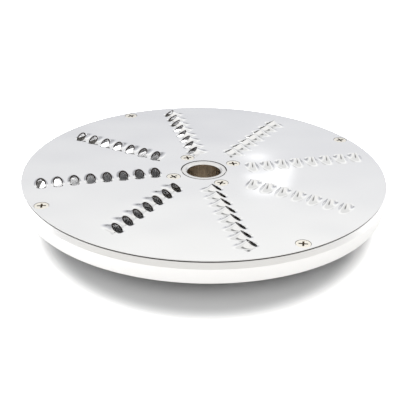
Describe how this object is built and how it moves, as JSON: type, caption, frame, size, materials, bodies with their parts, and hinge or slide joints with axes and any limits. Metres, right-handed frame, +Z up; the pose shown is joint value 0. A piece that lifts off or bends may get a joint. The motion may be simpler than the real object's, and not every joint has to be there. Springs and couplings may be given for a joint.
{
  "type": "grating disc for a vegetable cutter",
  "caption": "Round stainless grating disc with rows of pressed teeth, screwed to a spoked aluminium wheel with a plain bore.",
  "frame": {"origin": "on the bore's axis at the hub's lower face, which the disc stands on", "axes": "+Z up along the bore, towards the toothed plate; +X to the right and +Y away in the usual view"},
  "size_m": [0.205, 0.205, 0.0235],
  "materials": {
    "polished_stainless": "polished sheet",
    "cast_aluminium": "cast and turned, satin",
    "screw_steel": "bright steel"
  },
  "bodies": {
    "root": {"grater_plate": "polished_stainless", "cast_wheel": "cast_aluminium", "countersunk_screws": "screw_steel"}
  },
  "joints": []
}
